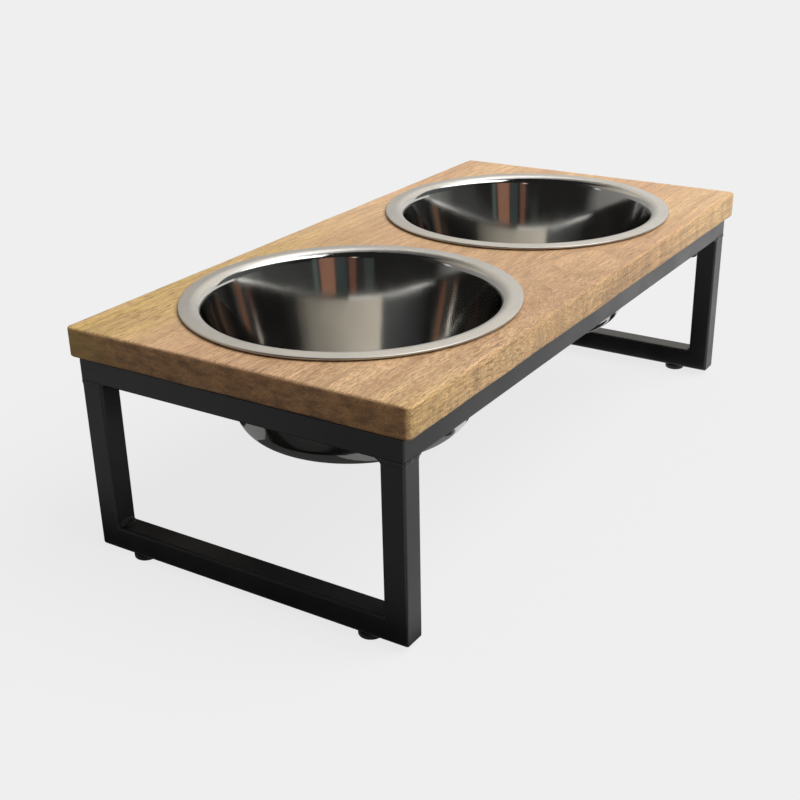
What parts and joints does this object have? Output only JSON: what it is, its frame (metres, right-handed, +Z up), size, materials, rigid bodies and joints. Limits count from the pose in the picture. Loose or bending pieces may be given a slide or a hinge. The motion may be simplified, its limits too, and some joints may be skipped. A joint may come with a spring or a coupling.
{
  "type": "raised pet feeder",
  "caption": "Raised pet feeder: lift-out steel bowls hang by their rims in a wooden board on a low welded square-tube stand with screw-in glides.",
  "frame": {"origin": "on the floor, under the middle of the board", "axes": "+X along the board's length to its right end, +Y to the back, +Z up; the front is -Y"},
  "size_m": [0.3966, 0.1964, 0.1265],
  "materials": {
    "wood": "satin oiled hardwood with fine open pores",
    "bowl_steel": "polished inside, satin on the rim and outside",
    "black_coat": "satin black powder coat",
    "black_screw": "black oxide",
    "zinc_steel": "bright zinc plate",
    "black_nylon": "moulded nylon"
  },
  "bodies": {
    "stand": {"board": "wood", "front_rail": "black_coat", "back_rail": "black_coat", "left_rail": "black_coat", "right_rail": "black_coat", "base_bar_left": "black_coat", "base_bar_right": "black_coat", "leg_front_left": "black_coat", "weld_leg_front_left": "black_coat", "weld_bar_front_left": "black_coat", "leg_back_left": "black_coat", "weld_leg_back_left": "black_coat", "weld_bar_back_left": "black_coat", "leg_front_right": "black_coat", "weld_leg_front_right": "black_coat", "weld_bar_front_right": "black_coat", "leg_back_right": "black_coat", "weld_leg_back_right": "black_coat", "weld_bar_back_right": "black_coat", "screw_front_left": "black_screw", "screw_back_left": "black_screw", "screw_front_right": "black_screw", "screw_back_right": "black_screw", "glide_insert_front_left": "zinc_steel", "glide_insert_back_left": "zinc_steel", "glide_insert_front_right": "zinc_steel", "glide_insert_back_right": "zinc_steel"},
    "bowl_left": {"bowl_left": "bowl_steel"},
    "bowl_right": {"bowl_right": "bowl_steel"},
    "glide_front_left": {"glide_front_left": "black_nylon", "glide_stud_front_left": "zinc_steel"},
    "glide_back_left": {"glide_back_left": "black_nylon", "glide_stud_back_left": "zinc_steel"},
    "glide_front_right": {"glide_front_right": "black_nylon", "glide_stud_front_right": "zinc_steel"},
    "glide_back_right": {"glide_back_right": "black_nylon", "glide_stud_back_right": "zinc_steel"}
  },
  "joints": [
    {"name": "bowl_left_lift", "type": "slide", "parent": "stand", "child": "bowl_left", "axis": [0, 0, 1], "range_m": [0, 0.11]},
    {"name": "bowl_right_lift", "type": "slide", "parent": "stand", "child": "bowl_right", "axis": [0, 0, 1], "range_m": [0, 0.11]},
    {"name": "glide_front_left_adjust", "type": "slide", "parent": "stand", "child": "glide_front_left", "axis": [0, 0, -1], "range_m": [0, 0.004]},
    {"name": "glide_back_left_adjust", "type": "slide", "parent": "stand", "child": "glide_back_left", "axis": [0, 0, -1], "range_m": [0, 0.004]},
    {"name": "glide_front_right_adjust", "type": "slide", "parent": "stand", "child": "glide_front_right", "axis": [0, 0, -1], "range_m": [0, 0.004]},
    {"name": "glide_back_right_adjust", "type": "slide", "parent": "stand", "child": "glide_back_right", "axis": [0, 0, -1], "range_m": [0, 0.004]}
  ]
}
